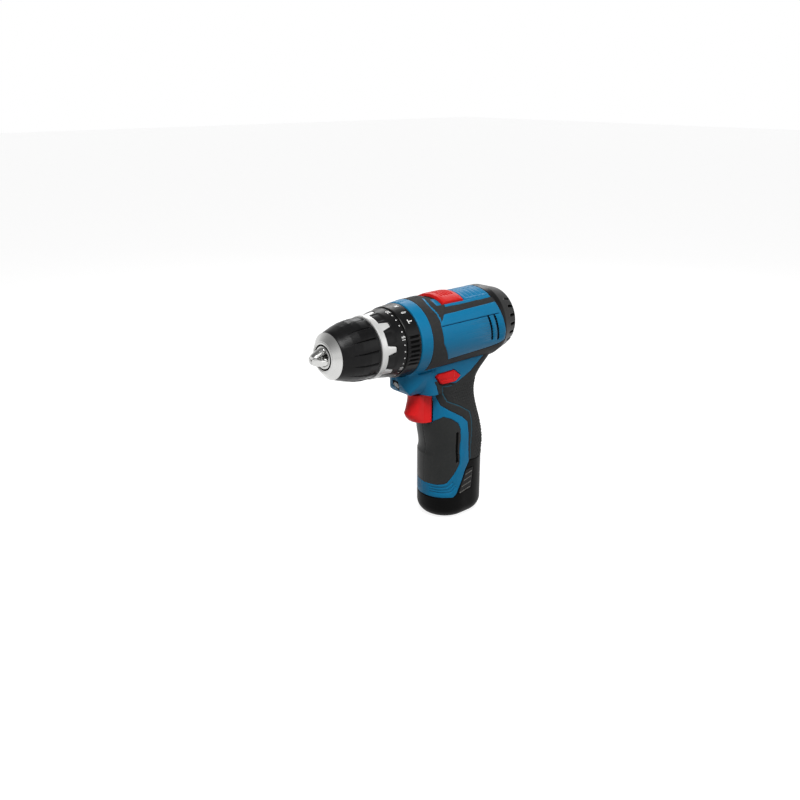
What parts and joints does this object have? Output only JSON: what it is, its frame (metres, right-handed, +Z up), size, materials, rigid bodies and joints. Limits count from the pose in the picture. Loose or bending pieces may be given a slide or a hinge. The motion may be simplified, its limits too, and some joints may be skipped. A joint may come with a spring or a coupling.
{
  "type": "cordless drill",
  "caption": "Pistol-grip cordless drill with a keyless chuck, torque and mode rings, a planetary gearbox and a stick battery that slides into the grip.",
  "frame": {"origin": "centre of the battery foot's flat bottom face", "axes": "+X forward along the spindle towards the chuck, +Y to the drill's left side, +Z up from the foot to the head"},
  "size_m": [0.1784, 0.056, 0.1799],
  "materials": {
    "blue_plastic": "satin moulded",
    "dark_rubber": "matt, fine grain",
    "grip_panel": "satin moulded",
    "black_plastic": "satin moulded",
    "red_plastic": "satin moulded",
    "silver_plastic": "satin moulded",
    "inner_plastic": "moulded",
    "clear_lens": "clear",
    "bright_steel": "turned and polished",
    "dark_steel": "ground",
    "gear_steel": "sintered",
    "case_metal": "die cast",
    "can_steel": "plated",
    "magnet": "sintered",
    "copper": "wound and turned",
    "carbon": "pressed",
    "spring_steel": "drawn",
    "cell_sleeve": "wrapped",
    "contact_metal": "plated",
    "screw_steel": "blackened"
  },
  "bodies": {
    "housing": {"left_shell": "blue_plastic", "right_shell": "blue_plastic", "left_overmould": "dark_rubber", "right_overmould": "dark_rubber", "left_grip_panel": "grip_panel", "right_grip_panel": "grip_panel", "housing_screws": "screw_steel", "rear_cap": "black_plastic", "led_lens": "clear_lens", "motor_can": "can_steel", "motor_magnets": "magnet", "motor_end_bell": "inner_plastic", "carbon_brushes": "carbon", "motor_plate": "inner_plastic", "gear_case": "inner_plastic", "front_ring_gear": "gear_steel", "case_ratchet": "gear_steel", "front_bearing": "dark_steel", "clutch_pins": "dark_steel", "clutch_washer": "dark_steel", "clutch_spring": "spring_steel", "switch_module": "inner_plastic", "trigger_spring": "spring_steel", "terminal_block": "inner_plastic"},
    "rotor": {"motor_shaft": "dark_steel", "armature": "copper", "commutator": "copper", "cooling_fan": "inner_plastic", "pinion": "gear_steel"},
    "rear_carrier": {"rear_carrier": "gear_steel"},
    "spindle": {"front_carrier": "gear_steel", "spindle": "dark_steel", "spindle_ratchet": "gear_steel", "chuck_body": "bright_steel"},
    "chuck_sleeve": {"chuck_sleeve": "black_plastic", "chuck_nut": "dark_steel"},
    "torque_ring": {"torque_ring": "black_plastic", "index_ring": "silver_plastic"},
    "clutch_nut": {"clutch_nut": "inner_plastic"},
    "mode_ring": {"mode_ring": "black_plastic"},
    "gear_selector": {"gear_selector": "red_plastic", "selector_slide": "inner_plastic", "rear_ring_gear": "gear_steel"},
    "trigger": {"trigger": "red_plastic"},
    "direction_lever": {"direction_lever": "red_plastic"},
    "battery": {"battery_base": "black_plastic", "battery_stick": "black_plastic", "battery_cells": "cell_sleeve", "battery_contacts": "contact_metal"},
    "left_release_button": {"left_release_button": "black_plastic"},
    "right_release_button": {"right_release_button": "black_plastic"},
    "rear_planet_1": {"rear_planet_1": "gear_steel"},
    "rear_planet_2": {"rear_planet_2": "gear_steel"},
    "rear_planet_3": {"rear_planet_3": "gear_steel"},
    "front_planet_1": {"front_planet_1": "gear_steel"},
    "front_planet_2": {"front_planet_2": "gear_steel"},
    "front_planet_3": {"front_planet_3": "gear_steel"},
    "jaw_1": {"jaw_1": "bright_steel"},
    "jaw_2": {"jaw_2": "bright_steel"},
    "jaw_3": {"jaw_3": "bright_steel"}
  },
  "joints": [
    {"name": "spindle_spin", "type": "hinge", "parent": "housing", "child": "spindle", "pos_m": [0.06, 0, 0.151], "axis": [1, 0, 0], "continuous": true},
    {"name": "rear_carrier_spin", "type": "hinge", "parent": "housing", "child": "rear_carrier", "pos_m": [0.03, 0, 0.151], "axis": [1, 0, 0], "continuous": true},
    {"name": "rotor_spin", "type": "hinge", "parent": "housing", "child": "rotor", "pos_m": [0, 0, 0.151], "axis": [1, 0, 0], "continuous": true},
    {"name": "rear_planet_1_spin", "type": "hinge", "parent": "rear_carrier", "child": "rear_planet_1", "pos_m": [0.024, 0.0105, 0.151], "axis": [1, 0, 0], "continuous": true},
    {"name": "rear_planet_2_spin", "type": "hinge", "parent": "rear_carrier", "child": "rear_planet_2", "pos_m": [0.024, -0.00525, 0.16009], "axis": [1, 0, 0], "continuous": true},
    {"name": "rear_planet_3_spin", "type": "hinge", "parent": "rear_carrier", "child": "rear_planet_3", "pos_m": [0.024, -0.00525, 0.14191], "axis": [1, 0, 0], "continuous": true},
    {"name": "front_planet_1_spin", "type": "hinge", "parent": "spindle", "child": "front_planet_1", "pos_m": [0.04, 0.0105, 0.151], "axis": [1, 0, 0], "continuous": true},
    {"name": "front_planet_2_spin", "type": "hinge", "parent": "spindle", "child": "front_planet_2", "pos_m": [0.04, -0.00525, 0.16009], "axis": [1, 0, 0], "continuous": true},
    {"name": "front_planet_3_spin", "type": "hinge", "parent": "spindle", "child": "front_planet_3", "pos_m": [0.04, -0.00525, 0.14191], "axis": [1, 0, 0], "continuous": true},
    {"name": "chuck_sleeve_turn", "type": "hinge", "parent": "spindle", "child": "chuck_sleeve", "pos_m": [0.1, 0, 0.151], "axis": [1, 0, 0], "range_deg": [0, 2880]},
    {"name": "jaw_1_slide", "type": "slide", "parent": "spindle", "child": "jaw_1", "axis": [-0.9659, 0, 0.2588], "range_m": [0, 0.01701]},
    {"name": "jaw_2_slide", "type": "slide", "parent": "spindle", "child": "jaw_2", "axis": [-0.9659, -0.2241, -0.1294], "range_m": [0, 0.01701]},
    {"name": "jaw_3_slide", "type": "slide", "parent": "spindle", "child": "jaw_3", "axis": [-0.9659, 0.2241, -0.1294], "range_m": [0, 0.01701]},
    {"name": "torque_ring_turn", "type": "hinge", "parent": "housing", "child": "torque_ring", "pos_m": [0.07, 0, 0.151], "axis": [1, 0, 0], "range_deg": [0, 224], "deforming": ["clutch_spring"]},
    {"name": "clutch_nut_slide", "type": "slide", "parent": "torque_ring", "child": "clutch_nut", "axis": [1, 0, 0], "range_m": [0, 0.0035]},
    {"name": "mode_ring_turn", "type": "hinge", "parent": "housing", "child": "mode_ring", "pos_m": [0.057, 0, 0.151], "axis": [1, 0, 0], "range_deg": [0, 36]},
    {"name": "gear_selector_slide", "type": "slide", "parent": "housing", "child": "gear_selector", "axis": [1, 0, 0], "range_m": [0, 0.006]},
    {"name": "trigger_pull", "type": "slide", "parent": "housing", "child": "trigger", "axis": [-1, 0, 0], "range_m": [0, 0.006], "stiffness_N_per_m": 700, "springref_m": -0.004, "deforming": ["trigger_spring"]},
    {"name": "direction_lever_slide", "type": "slide", "parent": "housing", "child": "direction_lever", "axis": [0, 1, 0], "range_m": [-0.0025, 0.0025]},
    {"name": "battery_slide", "type": "slide", "parent": "housing", "child": "battery", "axis": [0, 0, 1], "range_m": [-0.08, 0]},
    {"name": "left_button_press", "type": "slide", "parent": "battery", "child": "left_release_button", "axis": [0, -1, 0], "range_m": [0, 0.0012], "stiffness_N_per_m": 900, "springref_m": -0.003},
    {"name": "right_button_press", "type": "slide", "parent": "battery", "child": "right_release_button", "axis": [0, 1, 0], "range_m": [0, 0.0012], "stiffness_N_per_m": 900, "springref_m": -0.003}
  ],
  "couplings": [
    {"joint": "rear_carrier_spin", "follows": "spindle_spin", "ratio": 4},
    {"joint": "rotor_spin", "follows": "spindle_spin", "ratio": 20},
    {"joint": "rear_planet_1_spin", "follows": "spindle_spin", "ratio": -10.667},
    {"joint": "rear_planet_2_spin", "follows": "spindle_spin", "ratio": -10.667},
    {"joint": "rear_planet_3_spin", "follows": "spindle_spin", "ratio": -10.667},
    {"joint": "front_planet_1_spin", "follows": "spindle_spin", "ratio": -3},
    {"joint": "front_planet_2_spin", "follows": "spindle_spin", "ratio": -3},
    {"joint": "front_planet_3_spin", "follows": "spindle_spin", "ratio": -3},
    {"joint": "jaw_1_slide", "follows": "chuck_sleeve_turn", "m_per_rad": 0.0003382},
    {"joint": "jaw_2_slide", "follows": "chuck_sleeve_turn", "m_per_rad": 0.0003382},
    {"joint": "jaw_3_slide", "follows": "chuck_sleeve_turn", "m_per_rad": 0.0003382},
    {"joint": "clutch_nut_slide", "follows": "torque_ring_turn", "m_per_rad": 0.00089525}
  ]
}
